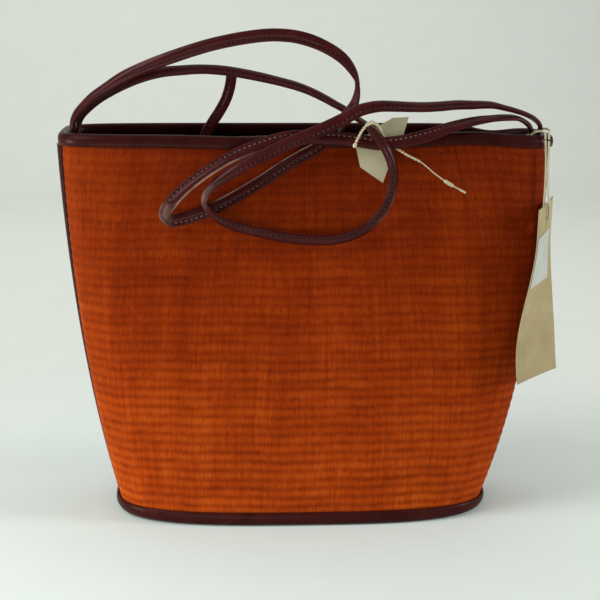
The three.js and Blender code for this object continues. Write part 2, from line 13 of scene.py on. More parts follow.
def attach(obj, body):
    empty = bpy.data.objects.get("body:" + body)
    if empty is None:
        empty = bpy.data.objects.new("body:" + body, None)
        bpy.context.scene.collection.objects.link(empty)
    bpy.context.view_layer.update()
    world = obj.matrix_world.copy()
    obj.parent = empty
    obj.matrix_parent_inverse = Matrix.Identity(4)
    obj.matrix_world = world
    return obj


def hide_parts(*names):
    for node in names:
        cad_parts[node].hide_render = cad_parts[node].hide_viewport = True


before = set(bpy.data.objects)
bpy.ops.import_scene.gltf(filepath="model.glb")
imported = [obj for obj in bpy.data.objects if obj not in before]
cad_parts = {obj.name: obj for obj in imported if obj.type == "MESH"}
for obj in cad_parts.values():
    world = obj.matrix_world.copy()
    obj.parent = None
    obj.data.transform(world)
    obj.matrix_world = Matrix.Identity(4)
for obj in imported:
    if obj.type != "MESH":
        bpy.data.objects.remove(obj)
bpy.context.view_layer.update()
MM = 0.001
PATTERN_UNIT = 100.0
SHARP_ANGLE = 50
scene = bpy.context.scene


def placed(name, data):
    """A new object in the scene."""
    made = bpy.data.objects.new(name, data)
    scene.collection.objects.link(made)
    return made


# Camera


def place_camera():
    """The photograph's viewpoint: almost square to the front, a little above the rim."""
    place = Vector((-64.75, -1071.9, 360.8)) * MM
    aim = Vector((-2.84, 0, 141.5)) * MM
    roll = math.radians(0.304)
    forward = (aim - place).normalized()
    right = forward.cross(Vector((0, 0, 1))).normalized()
    up = right.cross(forward)
    across = right * math.cos(roll) + up * math.sin(roll)
    above = across.cross(forward)
    data = bpy.data.cameras.new("camera")
    data.sensor_width = 36
    data.lens = 95.03
    data.clip_start, data.clip_end = 0.05, 50
    turned = Matrix((across, above, -forward)).transposed().to_4x4()
    scene.camera = placed("camera", data)
    scene.camera.matrix_world = Matrix.Translation(place) @ turned


place_camera()


# Meshes


def travelled(points, closed=False):
    """Distances along a row of points from its start, and back to the start if it is closed."""
    if closed:
        points = np.concatenate([points, points[:1]])
    step = np.linalg.norm(np.diff(points, axis=0), axis=1)
    return np.concatenate([[0], np.cumsum(step)])


def grid(points, close_rows=False, close_columns=False, u=None, v=None, keep=None):
    """Four-sided faces between neighbouring points of a grid, and their places in the pattern.

    Rows or columns may close on themselves. u runs across the columns and v across the rows, each
    with at least one more number than the faces it crosses. keep marks the faces that stay.
    """
    rows, columns = points.shape[:2]
    i, j = np.meshgrid(
        np.arange(rows - (not close_rows)), np.arange(columns - (not close_columns)), indexing="ij"
    )
    i_next, j_next = (i + 1) % rows, (j + 1) % columns
    faces = np.stack(
        [i * columns + j, i * columns + j_next, i_next * columns + j_next, i_next * columns + j], -1
    )
    u = np.arange(columns + 1.0) if u is None else u
    v = np.arange(rows + 1.0) if v is None else v
    if v.ndim == 1:
        v = np.repeat(v[:, None], len(u), 1)
    if u.ndim == 1:
        u = np.repeat(u[None, :], len(v), 0)
    corners = [(i, j), (i, j + 1), (i + 1, j + 1), (i + 1, j)]
    places = np.stack([np.stack([u[a, b], v[a, b]], -1) for a, b in corners], -2)
    if keep is None:
        return faces.reshape(-1, 4), places.reshape(-1, 4, 2)
    return faces[keep], places[keep]


def rim_of(faces, shift):
    """Faces that join the free edges of one sheet to the same edges of another, shift points on."""
    start = faces.ravel()
    end = np.roll(faces, -1, axis=1).ravel()
    size = faces.max() + 1
    free = ~np.isin(start * size + end, end * size + start)
    a, b = start[free], end[free]
    return np.stack([b, a, a + shift, b + shift], -1)


def write(name, points, faces, places, material, body, nodes=(), ends=()):
    """One closed mesh in metres, with its faces turned outwards, that rides on a body."""
    points = points.reshape(-1, 3)
    loops = np.concatenate([faces.ravel(), *ends])
    totals = np.array([4] * len(faces) + [len(e) for e in ends])
    starts = np.concatenate([[0], np.cumsum(totals)[:-1]])
    mesh = bpy.data.meshes.new(name)
    mesh.vertices.add(len(points))
    mesh.vertices.foreach_set("co", (points * MM).ravel())
    mesh.loops.add(len(loops))
    mesh.loops.foreach_set("vertex_index", loops.astype(np.int32))
    mesh.polygons.add(len(totals))
    mesh.polygons.foreach_set("loop_start", starts.astype(np.int32))
    mesh.polygons.foreach_set("loop_total", totals.astype(np.int32))
    mesh.polygons.foreach_set("use_smooth", np.ones(len(totals), bool))
    flat = np.concatenate([places.reshape(-1, 2), np.zeros((len(loops) - 4 * len(faces), 2))])
    mesh.update(calc_edges=True)
    uv = (flat / PATTERN_UNIT).ravel()
    mesh.uv_layers.new(name="pattern").data.foreach_set("uv", uv)
    a, b, c, d = (points[faces[:, k]] for k in range(4))
    volume = np.sum(np.cross(c - a, d - b) * (a + b + c + d))
    if volume < 0:
        mesh.flip_normals()
    mesh.set_sharp_from_angle(angle=math.radians(SHARP_ANGLE))
    mesh.materials.append(material)
    piece = placed(name, mesh)
    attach(piece, body)
    if nodes:
        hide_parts(*nodes)
    return piece


def sheet_piece(name, outer, inner, material, body, nodes, u=None, v=None, keep=None):
    """A closed sheet between two grids of points, with a wall round every free edge."""
    faces, places = grid(outer, u=u, v=v, keep=keep)
    shift = outer.shape[0] * outer.shape[1]
    wall_faces = rim_of(faces, shift)
    all_faces = np.concatenate([faces, faces[:, ::-1] + shift, wall_faces])
    all_places = np.concatenate([places, places[:, ::-1], np.zeros((len(wall_faces), 4, 2))])
    points = np.concatenate([outer.reshape(-1, 3), inner.reshape(-1, 3)])
    return write(name, points, all_faces, all_places, material, body, nodes)


def tube_piece(name, loops, material, body, nodes, ring=False, along=None, round_it=None):
    """A closed skin over loops of points, one loop a row: a ring, or a tube with flat ends.

    The pattern's numbers along it and round it are its own distances unless they are given.
    """
    rows, columns = loops.shape[:2]
    along = travelled(loops.mean(1), ring) if along is None else along
    round_it = travelled(loops[0], True) if round_it is None else round_it
    faces, places = grid(loops, ring, True, round_it, along)
    last = np.arange(columns) + (rows - 1) * columns
    ends = () if ring else (np.arange(columns)[::-1], last)
    return write(name, loops, faces, places, material, body, nodes, ends)


# Node trees


def node(tree, kind, sockets=None, **settings):
    """A node with its settings, whose sockets take a value or another node's output."""
    made = tree.nodes.new(kind)
    for name, value in settings.items():
        setattr(made, name, value)
    for name, value in (sockets or {}).items():
        if isinstance(value, bpy.types.NodeSocket):
            tree.links.new(value, made.inputs[name])
        else:
            made.inputs[name].default_value = value
    return made


def maths(tree, operation, a, b=0.0, c=0.0):
    """One calculation with numbers or sockets."""
    return node(tree, "ShaderNodeMath", {0: a, 1: b, 2: c}, operation=operation).outputs[0]


def times(tree, a, b, plus=0.0):
    """One number or socket times another, plus a third."""
    return maths(tree, "MULTIPLY_ADD", a, b, plus)


def noise(tree, place, scale=1.0, detail=2.0, rough=0.5):
    """A soft pattern between 0 and 1, at a number of waves to each unit of the place."""
    sockets = {"Vector": place, "Scale": scale, "Detail": detail, "Roughness": rough}
    return node(tree, "ShaderNodeTexNoise", sockets).outputs["Fac"]


def blend(tree, share, first, second, way="MIX"):
    """Two colours mixed by a share."""
    mix = node(tree, "ShaderNodeMix", data_type="RGBA", blend_type=way, clamp_factor=True)
    for index, value in ((0, share), (6, first), (7, second)):
        if isinstance(value, bpy.types.NodeSocket):
            tree.links.new(value, mix.inputs[index])
        elif index:
            mix.inputs[index].default_value = (*value, 1)
        else:
            mix.inputs[index].default_value = value
    return mix.outputs[2]


def spread(tree, value, low, high, to_low=0.0, to_high=1.0):
    """A number between low and high, stretched to two others and held between them."""
    numbers = {"From Min": low, "From Max": high, "To Min": to_low, "To Max": to_high}
    return node(tree, "ShaderNodeMapRange", {"Value": value, **numbers}).outputs["Result"]


def apart(tree, place):
    """A vector's three numbers."""
    return node(tree, "ShaderNodeSeparateXYZ", {"Vector": place}).outputs


def pattern(tree):
    """Millimetres along and up a piece's own pattern."""
    place = node(tree, "ShaderNodeUVMap", uv_map="pattern").outputs["UV"]
    return [times(tree, number, PATTERN_UNIT) for number in apart(tree, place)[:2]]


def vector(tree, x=0.0, y=0.0, z=0.0):
    """Three numbers as one vector."""
    return node(tree, "ShaderNodeCombineXYZ", {"X": x, "Y": y, "Z": z}).outputs[0]


def surface(tree, shader, colour, height, depth, strength=1.0):
    """Gives a shader its colour and a relief, so many millimetres deep."""
    sockets = {"Height": height, "Distance": depth * MM, "Strength": strength}
    relief = node(tree, "ShaderNodeBump", sockets).outputs["Normal"]
    tree.links.new(relief, shader.inputs["Normal"])
    tree.links.new(colour, shader.inputs["Base Color"])


def new_material(name, **values):
    """A material with one plain shader, whose sockets take these values."""
    material = bpy.data.materials.new(name)
    material.use_nodes = True
    tree = material.node_tree
    shader = tree.nodes["Principled BSDF"]
    for key, value in values.items():
        shader.inputs[key.replace("_", " ")].default_value = value
    return material, tree, shader


def object_mm(tree):
    """Millimetres in the bag's own frame."""
    sockets = {0: node(tree, "ShaderNodeTexCoord").outputs["Object"], "Scale": 1 / MM}
    return node(tree, "ShaderNodeVectorMath", sockets, operation="SCALE").outputs[0]


def straw_material():
    """Fine upright straws held by thicker cross cords: ribs 6.2 mm high, threads about 1 mm wide.

    The grooves between the ribs are painted shade, dark where the weave is loose and almost gone
    elsewhere, and deeper towards the foot. A straw is a little lighter or darker from rib to rib,
    some threads run dark for a long way up, and the dye has soft bands both ways, like a faint
    plaid. The straw is deepest and reddest at the mouth and brighter towards the foot, partly dye
    and partly painted light, and painted light makes it lighter and yellower round the front's left
    corner.
    """
    material, tree, shader = new_material("woven straw", Roughness=0.75, Specular_IOR_Level=0.04)
    u, v = pattern(tree)
    rib = maths(tree, "DIVIDE", v, RIB)
    row = maths(tree, "FLOOR", rib)
    groove_row = maths(tree, "ROUND", rib)
    wave = maths(tree, "COSINE", times(tree, rib, math.tau))
    groove = maths(tree, "POWER", times(tree, wave, 0.5, 0.5), 1.4)
    height_share = spread(tree, apart(tree, object_mm(tree))["Z"], 10, 240)
    # The painted shade in the grooves is deeper towards the foot.
    relief = spread(tree, height_share, 0, 1, 1.35, 0.55)

    def waves(width, height, seed, row=None, detail=2.0):
        """A soft pattern whose waves are so many millimetres wide and high, anew in each row."""
        third = seed if row is None else times(tree, row, 3.71, seed)
        place = vector(
            tree, maths(tree, "DIVIDE", u, width), maths(tree, "DIVIDE", v, height), third
        )
        return noise(tree, place, detail=detail)

    loose = spread(tree, waves(11, 60, 1.0, groove_row), 0.40, 0.66)
    straws = waves(0.9, 6.5, 2.0, row)
    ribs = waves(45, 60, 8.0, row)
    long_dark = spread(tree, waves(1.2, 190, 4.0), 0.64, 0.76)
    streaks = waves(2.6, 60, 5.0, detail=3)
    bands = waves(22, 240, 6.0)
    patches = waves(70, 50, 7.0)
    tone = times(tree, straws, 0.54, 0.235)
    for waver, weight, middle in (
        (streaks, 0.36, 0.5), (bands, 0.4, 0.5), (patches, 0.28, 0.5), (ribs, 0.45, 0.5),
        (long_dark, -0.26, 0.06),
    ):
        centred = maths(tree, "SUBTRACT", waver, middle)
        tone = times(tree, centred, weight, tone)
    # Painted shade in the grooves between the ribs, darker where the weave is loose.
    depth = times(tree, groove, times(tree, loose, 0.13, 0.105))
    depth = times(tree, depth, relief)
    tone = maths(tree, "SUBTRACT", tone, maths(tree, "SUBTRACT", depth, 0.06))
    dark = blend(tree, spread(tree, tone, 0.0, 0.5), STRAW_DEEP, STRAW_MIDDLE)
    dyed = blend(tree, spread(tree, tone, 0.5, 1.0), dark, STRAW_LIGHT)
    # Partly dye and partly painted light: the straw is brighter and more orange towards the foot,
    # deeper and redder at the mouth.
    fade = [
        times(tree, maths(tree, "POWER", at_mouth, height_share), at_foot)
        for at_foot, at_mouth in STRAW_DYE_AND_PAINTED_LIGHT
    ]
    dyed = blend(tree, 1.0, dyed, vector(tree, *fade), "MULTIPLY")
    # Painted light: the front's left corner is lighter and yellower where light from the left
    # grazes it.
    dyed = blend(tree, spread(tree, u, 62, 28), dyed, STRAW_PAINTED_CORNER_LIGHT, "MULTIPLY")
    height = times(tree, straws, 0.7, times(tree, groove, -0.5))
    surface(tree, shader, dyed, height, 0.22)
    return material


def leather_material(
    name, dark, light, grain=0.7, roughness=0.4, polish=0.05, stitched=None, painted_highlight=(), inside=None
):
    """Smooth coated leather: fine creases, soft blotches and a little polish.

    Where it is stitched, the needle holes are painted shade: dark spots at this distance across the
    strap. Each stretch of painted highlight is pale between two distances along the strap, from a
    reach across it out to its fold, by a share. An edge is near black on its inside, past this
    distance round its section, which is painted shade.
    """
    material, tree, shader = new_material(
        name, Specular_IOR_Level=0.06, Coat_Weight=polish, Coat_Roughness=0.16
    )
    shader.inputs["Specular Tint"].default_value = (1, 0.62, 0.6, 1)
    place = object_mm(tree)
    sockets = {"Vector": place, "Scale": 1.0 / grain}
    cells = node(tree, "ShaderNodeTexVoronoi", sockets, feature="DISTANCE_TO_EDGE")
    fine = noise(tree, place, 1.6, 3)
    blotch = noise(tree, place, 0.07, 3)
    share = times(tree, fine, 0.4, times(tree, blotch, 0.8))
    colour = blend(tree, spread(tree, share, 0.35, 0.85), dark, light)
    u, v = pattern(tree)
    if stitched:
        aside = maths(tree, "ABSOLUTE", maths(tree, "SUBTRACT", u, stitched))
        phase = maths(tree, "FRACT", times(tree, v, 1 / STITCH, 0.5))
        beside = maths(tree, "ABSOLUTE", maths(tree, "SUBTRACT", phase, 0.5))
        # Painted shade in the needle holes.
        hole = times(tree, spread(tree, aside, 0.75, 0.35), spread(tree, beside, 0.32, 0.42))
        colour = blend(tree, hole, colour, (0.004, 0.0012, 0.001))
    # Painted highlights: pale, uneven stretches along the straps' folds and edges where they catch
    # the light.
    uneven = spread(tree, noise(tree, place, 0.12, 3), 0.3, 0.6, 0.4, 1.0)
    for first, last, reach, share in painted_highlight:
        painted_highlight_share = times(tree, uneven, spread(tree, u, reach + 0.8, reach, 0, share))
        for end, inward in ((first, 10), (last, -10)):
            painted_highlight_share = times(tree, painted_highlight_share, spread(tree, v, end, end + inward))
        colour = blend(tree, painted_highlight_share, colour, PAINTED_HIGHLIGHT_COLOUR)
    # Painted shade: an edge's inside is near black.
    if inside:
        shade = spread(tree, u, inside, inside + 2, 0, 0.65)
        colour = blend(tree, shade, colour, (0.002, 0.0005, 0.0002))
    rough = spread(tree, fine, 0.3, 0.7, roughness - 0.06, roughness + 0.08)
    tree.links.new(rough, shader.inputs["Roughness"])
    creases = times(tree, fine, 0.3)
    creases = times(tree, cells.outputs["Distance"], 0.7, creases)
    surface(tree, shader, colour, creases, 0.12, 0.5)
    return material


def thread_material(name, paleness):
    """Waxed thread: dark on the arches, and paler at the front of the bag as painted highlight."""
    material, tree, shader = new_material(name, Roughness=0.5, Specular_IOR_Level=0.2)
    place = object_mm(tree)
    # Painted highlight: the thread is paler, unevenly, towards the front of the bag.
    painted_highlight = spread(tree, noise(tree, place, 0.08, 2), 0.35, 0.6, 0.25, 1.0)
    share = times(tree, spread(tree, apart(tree, place)["Y"], -44, -54, 0, paleness), painted_highlight)
    twist = noise(tree, place, 3.0, 2)
    dark = blend(tree, twist, (0.02, 0.005, 0.004), (0.06, 0.016, 0.013))
    pale = blend(tree, twist, (0.14, 0.07, 0.05), (0.34, 0.22, 0.165))
    surface(tree, shader, blend(tree, share, dark, pale), twist, 0.06, 0.5)
    return material


def cloth_material(name, dark, light, thread=0.5):
    """Plain woven cloth: warp and weft threads that cross one over one."""
    material, tree, shader = new_material(name, Roughness=0.9, Specular_IOR_Level=0.05)
    u, v = pattern(tree)
    warp, weft = (
        maths(tree, "SINE", times(tree, along, math.pi / thread)) for along in (u, v)
    )
    weave = times(tree, warp, weft)
    place = vector(tree, maths(tree, "DIVIDE", u, 3.0), maths(tree, "DIVIDE", v, 12.0))
    share = times(tree, weave, 0.25, noise(tree, place, detail=3))
    surface(tree, shader, blend(tree, share, dark, light), weave, 0.15, 0.6)
    return material


def paper_material(name, dark, light, roughness=0.8):
    """Uncoated card with soft fibres."""
    material, tree, shader = new_material(name, Roughness=roughness, Specular_IOR_Level=0.15)
    place = object_mm(tree)
    fibre = noise(tree, place, 1.8, 4, 0.7)
    cloud = noise(tree, place, 0.06, 3)
    mottle = times(tree, fibre, 0.35, times(tree, cloud, 0.7))
    colour = blend(tree, spread(tree, mottle, 0.3, 0.8), dark, light)
    surface(tree, shader, colour, fibre, 0.06, 0.5)
    return material


def cord_material():
    """Twisted cotton: fine fibres that run round with the plies."""
    material, tree, shader = new_material("twisted cotton", Roughness=0.9, Sheen_Weight=0.2)
    u, v = pattern(tree)
    slanted = times(tree, v, 1.4, times(tree, u, 3.0))
    fibre = noise(tree, vector(tree, slanted, times(tree, v, 0.4)), 2.2, 3)
    colour = blend(tree, fibre, (0.30, 0.26, 0.15), (0.72, 0.67, 0.48))
    surface(tree, shader, colour, fibre, 0.1, 0.6)
    return material


def plastic_material():
    """Cream nylon that lets a little light through."""
    material, tree, shader = new_material(
        "cream nylon", Subsurface_Weight=0.25, Subsurface_Scale=0.001, Roughness=0.35
    )
    cloud = noise(tree, object_mm(tree), 0.5, 3)
    colour = blend(tree, cloud, (0.42, 0.35, 0.20), (0.62, 0.56, 0.38))
    surface(tree, shader, colour, cloud, 0.05, 0.3)
    return material


# The height of a rib, the straw's colours, how its red, green and blue change from foot to mouth,
# partly dye and partly painted light, and the painted light on its front's left corner.
RIB = 6.2
STRAW_DEEP = (0.085, 0.0075, 0.0005)
STRAW_MIDDLE = (0.235, 0.0262, 0.0016)
STRAW_LIGHT = (0.42, 0.07, 0.006)
STRAW_DYE_AND_PAINTED_LIGHT = ((1.53, 0.42), (1.69, 0.3), (1.65, 0.2))
STRAW_PAINTED_CORNER_LIGHT = (1.25, 1.55, 1.3)
# The stitches' distance from each other and from a strap's middle line.
STITCH = 3.4
STITCH_LINE = 1.75
# The colour of the painted highlights on the straps.
PAINTED_HIGHLIGHT_COLOUR = (0.4, 0.24, 0.18)
LEATHER_LOOK = {"dark": (0.017, 0.0026, 0.0019), "light": (0.041, 0.0068, 0.0048)}
STRAP_LOOK = {
    "dark": (0.026, 0.0034, 0.0031), "light": (0.066, 0.01, 0.0092),
    "grain": 0.9, "roughness": 0.34, "polish": 0.16, "stitched": STITCH_LINE,
}

straw = straw_material()
leather = leather_material("dark red leather", **LEATHER_LOOK)
# The rim's inside, past 20 mm round its section, is painted shade.
rim_leather_shaded_inside = leather_material("rim leather", **LEATHER_LOOK, inside=20.0)
base_leather = leather_material("base leather", (0.024, 0.0038, 0.003), (0.056, 0.0098, 0.0078))
# The high and low straps' stretches of painted highlight.
high_leather = leather_material("high strap leather", **STRAP_LOOK, painted_highlight=[
    (48, 120, -3.6, 0.45), (304, 390, -3.5, 0.95), (414, 434, 4.0, 0.3), (428, 534, -3.9, 0.95),
])
low_leather = leather_material("low strap leather", **STRAP_LOOK, painted_highlight=[
    (278, 300, 4.0, 0.28), (408, 442, -1.0, 0.2), (575, 640, -3.8, 0.3),
])
tab_leather = leather_material("tab leather", **STRAP_LOOK)
pale_thread = thread_material("worn thread", 0.9)
dark_thread = thread_material("waxed thread", 0.25)
lining_cloth = cloth_material("lining cloth", (0.002, 0.0006, 0.0002), (0.006, 0.0018, 0.0006))
card_paper = paper_material("cream card", (0.31, 0.248, 0.127), (0.437, 0.362, 0.203))
label_paper = paper_material("cream label", (0.375, 0.33, 0.213), (0.522, 0.465, 0.31))
sticker_paper = paper_material("white sticker", (0.387, 0.412, 0.363), (0.52, 0.55, 0.48), 0.5)
board_card = paper_material("stiff board", (0.2, 0.15, 0.09), (0.3, 0.24, 0.15))
cotton = cord_material()
nylon = plastic_material()


# Curves and the string

# Points on a curve that its distances are read from.
CURVE_SAMPLES = 6000
CORD_WIDTH = 1.6
PLY_TURN = 3.6

STRING_ROUTE = [
    [158.7, -39.5, 255.3], [158.7, -40.3, 248], [158.3, -41.5, 236], [158.7, -42.4, 222],
    [159.6, -42.9, 213], [159.7, -43.1, 208], [159.3, -43.2, 204.4], [157.8, -42.4, 203.2],
    [156.3, -41.6, 204.4], [156.1, -41.4, 208], [156.4, -41.2, 213], [156.9, -40.6, 222],
    [157.2, -39.8, 236], [157, -39.3, 248], [156.4, -39.2, 255.9],
]
NOOSE_ROUTE = [
    [158.7, -39.5, 256.4], [158.8, -38.9, 259], [159.2, -37.2, 261], [160, -33.5, 261.4],
    [161.2, -28, 261.4], [161.8, -21, 261.4], [160.8, -15.5, 261.4], [157.4, -12.9, 260.4],
    [152.6, -12.6, 257.8], [148, -14.8, 256.2], [146.3, -19.3, 255.8], [146, -25, 256.2],
    [147.8, -29.2, 258], [151.4, -31.8, 260.7], [154.6, -34.4, 261.5], [156.2, -37, 261],
    [156.4, -38.8, 259], [156.4, -39.2, 256.4],
]


def curve(points, at):
    """An open Catmull-Rom curve with root-of-distance knots, at places counted in points."""
    p = np.asarray(points, float)
    p = np.concatenate([[2 * p[0] - p[1]], p, [2 * p[-1] - p[-2]]])
    i = np.clip(np.floor(at).astype(int), 0, len(points) - 2)
    f = (at - i)[:, None]
    a, b, c, d = (p[i + k] for k in range(4))
    before, here, after = (
        np.sqrt(np.linalg.norm(q - r, axis=1, keepdims=True)) for q, r in ((b, a), (c, b), (d, c))
    )
    here = np.where(here < 1e-4, 1, here)
    before, after = np.where(before < 1e-4, here, before), np.where(after < 1e-4, here, after)
    start = ((b - a) / before - (c - a) / (before + here) + (c - b) / here) * here
    stop = ((c - b) / here - (d - b) / (here + after) + (d - c) / after) * here
    square, cube = 3 * (c - b) - 2 * start - stop, 2 * (b - c) + start + stop
    return b + start * f + square * f**2 + cube * f**3


def unit(directions):
    """Directions with a length of 1."""
    return directions / np.linalg.norm(directions, axis=-1, keepdims=True)


def even_steps(route, first=0, last=0, pitch=1.0, count=None):
    """Even steps along a route from one distance to another: their distances, their places counted
    in the route's points, their centres and directions. A distance below 0 counts from the end,
    and so does a last one of 0. The steps are as many as asked for, or one to each pitch."""
    fine = np.linspace(0, len(route) - 1, CURVE_SAMPLES)
    gone = travelled(curve(route, fine))
    start = gone[-1] + first if first < 0 else first
    stop = last if last > 0 else gone[-1] + last
    far = np.linspace(start, stop, count or max(3, round((stop - start) / pitch)))
    at = np.interp(far, gone, fine)
    centre = curve(route, at)
    return far, at, centre, unit(np.gradient(centre, axis=0))


def around(centre, along, radius, columns):
    """A loop of points round each centre, square to its direction, that doesn't spin on the way."""
    side = unit(np.cross(along, [0.31, 0.93, 0.19]))
    up = np.cross(along, side)
    turn = (np.arange(columns) * math.tau / columns)[:, None]
    flat = side[:, None] * np.cos(turn) + up[:, None] * np.sin(turn)
    return centre[:, None] + radius[..., None] * flat


def twisted_cord(name, route, node_name, body):
    """Two plies twisted round each other: an eight-shaped section that turns as it goes along."""
    far, _, centre, along = even_steps(route, count=26 * len(route))
    columns = 20
    turn = np.arange(columns) * math.tau / columns - math.tau * far[:, None] / PLY_TURN
    radius = CORD_WIDTH / 2 * np.sqrt(0.3 + 0.7 * np.abs(np.cos(turn)) ** 1.2)
    loops = around(centre, along, radius, columns)
    piece = tube_piece(name, loops, cotton, body, [node_name])


twisted_cord("tag_two_ply", STRING_ROUTE, "tag_string", "tag")
twisted_cord("noose_two_ply", NOOSE_ROUTE, "tag_noose", "shell")


# The bag's walls

HEIGHT = 260.0
WALL_TOP = 257.9
# Half the gap between the walls at a side seam, in radians.
SEAM = 0.0028
# Distances out from the wall's outline: the straw's back, the lining's two faces, and the
# underside of a side strip.
STRAW_INSIDE = -2.0
LINING_OUTSIDE, LINING_INSIDE = -2.45, -3.25
CLEAR = 0.45


def ease(value, low, high):
    """0 below low, 1 above high and a smooth step between."""
    share = np.clip((value - low) / (high - low), 0, 1)
    return share * share * (3 - 2 * share)


def wall(direction, height, offset=0.0):
    """A point of the bag's outside, moved out along its normal.

    The outline is an oval |x/a|^n + |y/b|^n = 1 in polar form. The half width a grows from base to
    mouth as 1 - (1 - s)^p, the half depth b shrinks with s squared and the power n grows with s,
    where s is the height over the full height. The mouth then sags and lifts a little, as soft
    straw does, and the base leans to the left.
    """
    direction, height, offset = np.broadcast_arrays(direction, height, offset)
    share = np.clip(height / HEIGHT, 0, 1)
    cosine, sine = np.cos(direction), np.sin(direction)
    right = cosine > 0
    base = np.where(right, 122.8, 124.2)
    mouth = np.where(right, 163.2, 162.4)
    power = np.where(right, 2.3 - 0.46 * share, 2.16 - 0.62 * share)
    half_width = mouth - (mouth - base) * (1 - share) ** power
    half_depth = 60.3 - 16.4 * share**2
    square = 3.1 + np.where(sine > 0, np.where(right, 0.2, 2.0), 2.4) * share
    across, deep = np.abs(cosine) / half_width, np.abs(sine) / half_depth
    radius = (across**square + deep**square) ** (-1 / square)
    x, y = radius * cosine, radius * sine
    normal_x = np.sign(x) * (across * radius) ** (square - 1) / half_width
    normal_y = np.sign(y) * (deep * radius) ** (square - 1) / half_depth
    size = np.hypot(normal_x, normal_y)
    x, y = x + offset * normal_x / size, y + offset * normal_y / size
    top = ease(share, 0.55, 1.0)
    front = ease(-y, -10, 30)
    wave = 1.8 * np.exp(-(((x - 104) / 24) ** 2)) - 1.1 * np.exp(-(((x + 48) / 28) ** 2))
    sag = -1.6 * ease(x, 118, 165) - 4.0 * np.exp(-(((x - 132) / 16) ** 2)) * (1 - front)
    lift = top * (front * wave + sag)
    lean = -1.7 * (1 - share) ** 5
    return np.stack([x + lean, y, height + lift], -1)


def directions(count):
    """Directions from the right seam round the back to the left seam, and on round the front, that
    cut the mouth's front outline into equal lengths; the back's are the same ones mirrored."""
    half_width, half_depth, square = 164, 44.5, 5.5
    fine = np.linspace(0, math.pi, 4001)
    across, deep = np.abs(np.cos(fine)) / half_width, np.abs(np.sin(fine)) / half_depth
    radius = (across**square + deep**square) ** (-1 / square)
    gone = travelled(np.stack([radius * np.cos(fine), radius * np.sin(fine)], -1))
    half = np.interp(np.linspace(0, gone[-1], count // 2 + 1), gone, fine)
    return np.concatenate([half, math.tau - half[-2:0:-1]])


def between(angles, first, last):
    """The directions between two, with both ends."""
    inner = angles[(angles > first + 1e-4) & (angles < last - 1e-4)]
    return np.concatenate([[first], inner, [last]])


ROUND = directions(260)
FRONT = between(ROUND, math.pi + SEAM, math.tau - SEAM)
BACK = between(ROUND, SEAM, math.pi - SEAM)


def along_wall(angles):
    """Millimetres round the wall at half height, as the pattern's first number."""
    return travelled(wall(angles, HEIGHT / 2))


def straw_wall(name, angles, nodes, start):
    """One woven wall: cross ribs stand out by a third of a millimetre and waver along the wall.

    Its pattern starts at this distance, so that no two walls are woven alike.
    """
    heights = np.linspace(2.05, WALL_TOP, 250)[:, None]
    u = along_wall(angles) + start
    waver = 0.5 * np.sin(u / 23.0) + 0.35 * np.sin(u / 9.1 + 1.3) + 0.2 * np.sin(u / 4.3)
    v = heights + waver
    ridge = 0.5 - 0.5 * np.cos(math.tau * v / RIB)
    fade = ease(heights, 2, 9) * ease(-heights, -252, -246)
    outer = wall(angles, heights, 0.32 * ridge * fade - 0.1)
    inner = wall(angles, heights, STRAW_INSIDE)
    sheet_piece(name, outer, inner, straw, "shell", nodes, u, v)


def lining_wall(name, angles, nodes):
    """The cloth inside a wall, with slight upright ripples that die out under the rim."""
    heights = np.linspace(6.1, WALL_TOP, 60)[:, None]
    u = along_wall(angles)
    ripple = 0.6 * (0.5 + 0.5 * np.sin(u / 11.0) * np.sin(u / 37.0 + 1))
    outer = wall(angles, heights, LINING_OUTSIDE)
    inner = wall(angles, heights, LINING_INSIDE - ripple * ease(250 - heights, 0, 60))
    piece = sheet_piece(
        name, outer, inner, lining_cloth, "shell", nodes, u, heights[:, 0]
    )


def smooth_profile(profile, count):
    """A closed profile rounded by a closed Catmull-Rom curve through its points."""
    points = np.asarray(profile, float)
    t = np.linspace(0, len(points), count, endpoint=False)
    i = np.floor(t).astype(int)
    f = (t - i)[:, None]
    a, b, c, d = (points[(i + k) % len(points)] for k in (-1, 0, 1, 2))
    square, cube = 2 * a - 5 * b + 4 * c - d, 3 * b - a - 3 * c + d
    return 0.5 * (2 * b + (c - a) * f + square * f**2 + cube * f**3)


def edge_ring(name, profile, count, nodes, hide):
    """A rolled leather edge: a rounded profile carried all round the wall."""
    offset, height = smooth_profile(profile, count).T
    loops = wall(directions(360)[:, None], height, offset)
    tube_piece(name, loops, hide, "shell", nodes, ring=True)


# The rolled rim is full at its front, with a tight fold under its lower edge. The rolled base edge
# is folded in under the bag. Both profiles are pairs of a distance out and a height.
RIM_PROFILE = [
    (0.5, 258.3), (0.45, 255.5), (0.5, 252.7), (0.9, 251.8), (1.7, 251.8), (2.35, 253.0),
    (2.65, 255.2), (2.35, 257.6), (1.3, 259.2), (-0.2, 259.9), (-1.6, 260.0), (-3.1, 259.7),
    (-4.3, 258.8), (-5.1, 257.2), (-5.2, 254.8), (-4.9, 252.9), (-4.5, 252.0), (-4.0, 252.0),
    (-3.7, 252.7), (-3.65, 255.5), (-3.7, 258.3), (-1.6, 258.5),
]
BASE_PROFILE = [
    (0.45, 1.9), (0.45, 5.0), (0.5, 8.0), (1.1, 8.7), (2.1, 8.5), (3.0, 7.3), (3.6, 5.4),
    (3.7, 3.6), (3.1, 1.7), (1.9, 0.5), (0.2, 0.05), (-3.5, 0.0), (-7.6, 0.0), (-8.0, 0.4),
    (-8.0, 1.3), (-7.6, 1.6), (-3.5, 1.6), (-0.2, 1.7),
]


